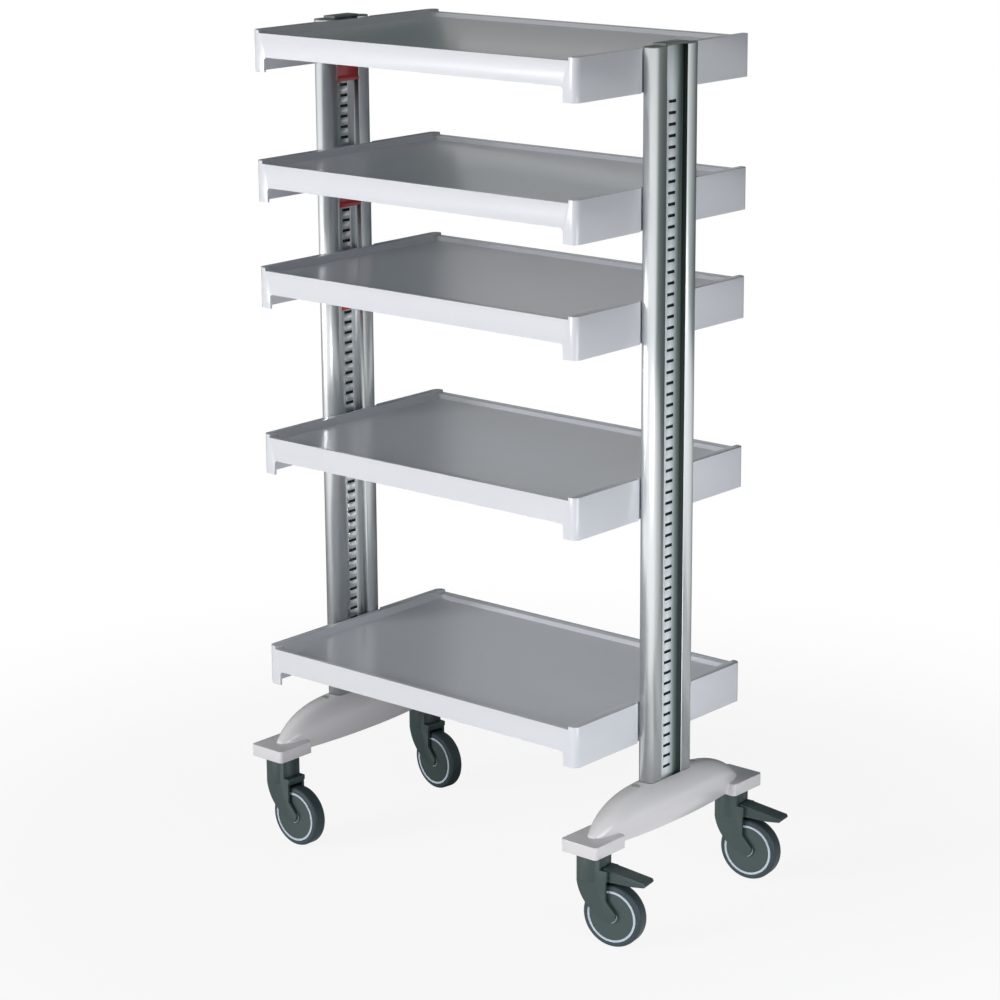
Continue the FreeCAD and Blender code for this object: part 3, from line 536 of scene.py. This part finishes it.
LIPS_TREE, LIPS_SOCKETS = slot_lips_tree()
for column, row in ROWS.items():
    lips = bpy.data.objects.new(column + "_slot_lips", bpy.data.meshes.new(column + "_slot_lips"))
    bpy.context.scene.collection.objects.link(lips)
    modifier = lips.modifiers.new("lips", "NODES")
    modifier.node_group = LIPS_TREE
    for name, number in row.items():
        modifier[LIPS_SOCKETS[name]] = number
    modifier[LIPS_SOCKETS["Material"]] = FINISHES["column_aluminium"]
    settle(lips)
    dress(lips, "column_aluminium", BODY_OF[column])
    print(lips.name, len(lips.data.polygons), "faces")

# %% [markdown]
# ## The outer channels and the slots
#
# The outer channels are left matt from the die, so they don't mirror the room. Their floor is painted pale
# beside the front lobe, a painted light, and painted dark toward the rear wall, a painted shade. Behind each
# slot the walls are painted dark, a painted shade that stands for the hollow of the web.

# %% Matt channels with painted light and shade, and slots with painted shade
# Painted light and shade across each outer channel, front to rear: pale tones are painted light, dark tones
# are painted shade at the rear wall.
CHANNEL_PAINTED_LIGHT_AND_SHADE = (
    (0.0, (0.92, 0.95, 0.97)),
    (0.5, (0.84, 0.89, 0.92)),
    (0.85, (0.12, 0.16, 0.15)),
    (1.0, (0.02, 0.035, 0.03)),
)
# Painted shade for the walls of every slot and the inner halves of their lips.
SLOT_PAINTED_SHADE = (0.03, 0.04, 0.04)
SLOT_PAINTED_SHADE_RAMP = ((0.0, SLOT_PAINTED_SHADE), (1.0, SLOT_PAINTED_SHADE))
MATT = {"Metallic": 0.0, "Roughness": 0.6}
MARGIN = 0.1 * MM


def paint_light_and_shade(material, depth, reach, tones):
    """Paint light and shade as matt tones from front to rear where |x| lies in the range depth and |y| is
    below reach.
    """
    nodes, links = material.node_tree.nodes, material.node_tree.links
    shader = nodes["Principled BSDF"]
    where, axes = nodes.new("ShaderNodeTexCoord"), nodes.new("ShaderNodeSeparateXYZ")
    links.new(where.outputs["Object"], axes.inputs[0])
    inside = nodes.new("ShaderNodeMath")
    inside.operation = "MULTIPLY"
    bands = (("X", (depth[0] + depth[1]) / 2, (depth[1] - depth[0]) / 2), ("Y", 0.0, reach))
    for number, (axis, middle, half) in enumerate(bands):
        size, near = nodes.new("ShaderNodeMath"), nodes.new("ShaderNodeMath")
        size.operation = "ABSOLUTE"
        near.operation = "COMPARE"
        near.inputs[1].default_value = middle
        near.inputs[2].default_value = half
        links.new(axes.outputs[axis], size.inputs[0])
        links.new(size.outputs[0], near.inputs[0])
        links.new(near.outputs[0], inside.inputs[number])
    across, ramp = nodes.new("ShaderNodeMapRange"), nodes.new("ShaderNodeValToRGB")
    across.inputs["From Min"].default_value = -reach
    across.inputs["From Max"].default_value = reach
    links.new(axes.outputs["Y"], across.inputs["Value"])
    links.new(across.outputs["Result"], ramp.inputs["Fac"])
    steps = ramp.color_ramp.elements
    for number, (spot, tone) in enumerate(tones):
        step = steps[number] if number < len(steps) else steps.new(spot)
        step.position = spot
        step.color = (*tone, 1)
    for name in ("Base Color", *MATT):
        plain, mix = shader.inputs[name], nodes.new("ShaderNodeMix")
        mix.data_type = "FLOAT" if name in MATT else "RGBA"
        if plain.is_linked:
            links.new(plain.links[0].from_socket, mix.inputs["A"])
        else:
            mix.inputs["A"].default_value = plain.default_value
        if name in MATT:
            mix.inputs["B"].default_value = MATT[name]
        else:
            links.new(ramp.outputs["Color"], mix.inputs["B"])
        links.new(inside.outputs[0], mix.inputs["Factor"])
        links.new(mix.outputs["Result"], plain)


outer_face = max(abs(vertex.co.x) for vertex in NODES["column_right"].data.vertices)
outer_wall = min(abs(vertex.co.y) for vertex in NODES["column_right"].data.vertices
                 if abs(abs(vertex.co.x) - outer_face) < TOLERANCE)
row = ROWS["column_right"]
# Painted light and shade in the outer channels, then painted shade on the walls of the slots.
paint_light_and_shade(FINISHES["column_aluminium"], (row["Far"] - MARGIN, outer_face - EDGE_WIDTHS["column"]),
          outer_wall + MARGIN, CHANNEL_PAINTED_LIGHT_AND_SHADE)
paint_light_and_shade(FINISHES["column_aluminium"], (row["Near"] + MARGIN, row["Far"] - MARGIN), outer_wall, SLOT_PAINTED_SHADE_RAMP)
print("outer channel:", [round(size / MM, 2) for size in (row["Far"], outer_face, outer_wall)], "mm")

# %% [markdown]
# ## The pieces that keep their own mesh
#
# Small pieces such as tyres, axles, pins and guide shoes stay as the frame holds them. They only get
# their finish.

# %% Materials for the nodes that keep their own mesh
carried = [node for node in NODES if node not in softened]
for node in carried:
    piece = NODES[node]
    piece.data.materials.clear()
    piece.data.materials.append(FINISHES[SLOT_OF[node]])
print("carried over:", len(carried), "nodes")
